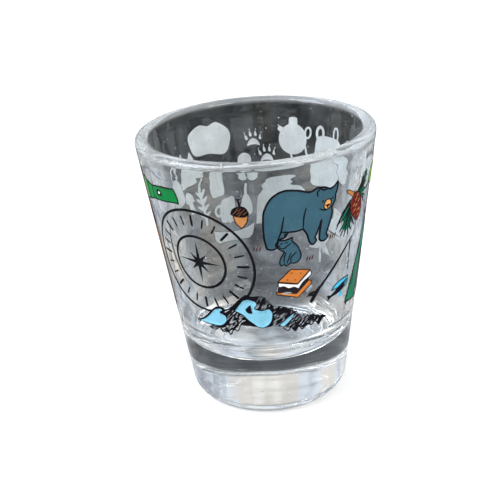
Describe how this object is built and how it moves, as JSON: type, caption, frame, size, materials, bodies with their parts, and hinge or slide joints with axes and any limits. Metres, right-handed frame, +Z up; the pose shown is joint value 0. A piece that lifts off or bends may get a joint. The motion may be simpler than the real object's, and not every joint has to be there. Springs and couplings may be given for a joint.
{
  "type": "shot glass",
  "caption": "Tapered clear shot glass with a thick base, decorated with fired enamel camping pictures in colour on its outer wall.",
  "frame": {"origin": "centre of the foot, on the plane that the glass stands on", "axes": "+Z up the glass's axis, towards the lip; -Y is the side with the bear, the badge and the mountains; +X to the right of it"},
  "size_m": [0.0484, 0.0484, 0.058],
  "materials": {
    "biscuit_enamel": "biscuit spot-colour enamel, fired on, gloss",
    "black_enamel": "black line enamel, fired on, gloss",
    "blue_grey_enamel": "blue grey spot-colour enamel, fired on, gloss",
    "bright_green_enamel": "bright green spot-colour enamel, fired on, gloss",
    "clear_glass": "clear pressed soda-lime glass, fire-polished",
    "cyan_enamel": "cyan spot-colour enamel, fired on, gloss",
    "deep_green_enamel": "deep green spot-colour enamel, fired on, gloss",
    "leaf_green_enamel": "leaf green spot-colour enamel, fired on, gloss",
    "nut_brown_enamel": "nut brown spot-colour enamel, fired on, gloss",
    "orange_enamel": "orange spot-colour enamel, fired on, gloss",
    "pale_blue_enamel": "pale blue spot-colour enamel, fired on, gloss",
    "red_brown_enamel": "red brown spot-colour enamel, fired on, gloss",
    "white_enamel": "white underprint enamel, fired on, gloss"
  },
  "bodies": {
    "root": {"acorn_colours": "nut_brown_enamel", "acorn_white_base": "white_enamel", "backpack_colours": "red_brown_enamel", "backpack_white_base": "white_enamel", "bear_colours": "blue_grey_enamel", "bear_cub_colours": "blue_grey_enamel", "bear_cub_white_base": "white_enamel", "bear_white_base": "white_enamel", "bedroll_colours": "orange_enamel", "bedroll_white_base": "white_enamel", "broad_leaf_colours": "leaf_green_enamel", "broad_leaf_white_base": "white_enamel", "campfire_colours": "orange_enamel", "campfire_white_base": "white_enamel", "canoe_colours": "red_brown_enamel", "canoe_white_base": "white_enamel", "canteen_colours": "leaf_green_enamel", "canteen_white_base": "white_enamel", "compass_badge": "black_enamel", "dome_tent_colours": "bright_green_enamel", "dome_tent_white_base": "white_enamel", "enamel_mug_colours": "pale_blue_enamel", "enamel_mug_white_base": "white_enamel", "fern_colours": "deep_green_enamel", "fern_white_base": "white_enamel", "fish_colours": "cyan_enamel", "fish_white_base": "white_enamel", "fishing_line": "black_enamel", "fishing_rod": "black_enamel", "flashlight_colours": "bright_green_enamel", "flashlight_white_base": "white_enamel", "flask_colours": "deep_green_enamel", "flask_white_base": "white_enamel", "glass_tumbler": "clear_glass", "grass_strokes": "black_enamel", "hiking_boot_colours": "red_brown_enamel", "hiking_boot_white_base": "white_enamel", "kettle_colours": "pale_blue_enamel", "kettle_white_base": "white_enamel", "lantern_colours": "bright_green_enamel", "lantern_white_base": "white_enamel", "log_pile_colours": "nut_brown_enamel", "log_pile_white_base": "white_enamel", "maple_leaf_colours": "orange_enamel", "maple_leaf_white_base": "white_enamel", "mountains_colours": "pale_blue_enamel", "mountains_white_base": "white_enamel", "mushroom_colours": "red_brown_enamel", "mushroom_white_base": "white_enamel", "paddle_colours": "biscuit_enamel", "paddle_white_base": "white_enamel", "paw_prints": "white_enamel", "pine_cone_colours": "red_brown_enamel", "pine_cone_white_base": "white_enamel", "smores_colours": "biscuit_enamel", "smores_white_base": "white_enamel", "tepee_tent_colours": "deep_green_enamel", "tepee_tent_white_base": "white_enamel", "walking_stick_colours": "nut_brown_enamel", "walking_stick_white_base": "white_enamel"}
  },
  "joints": []
}
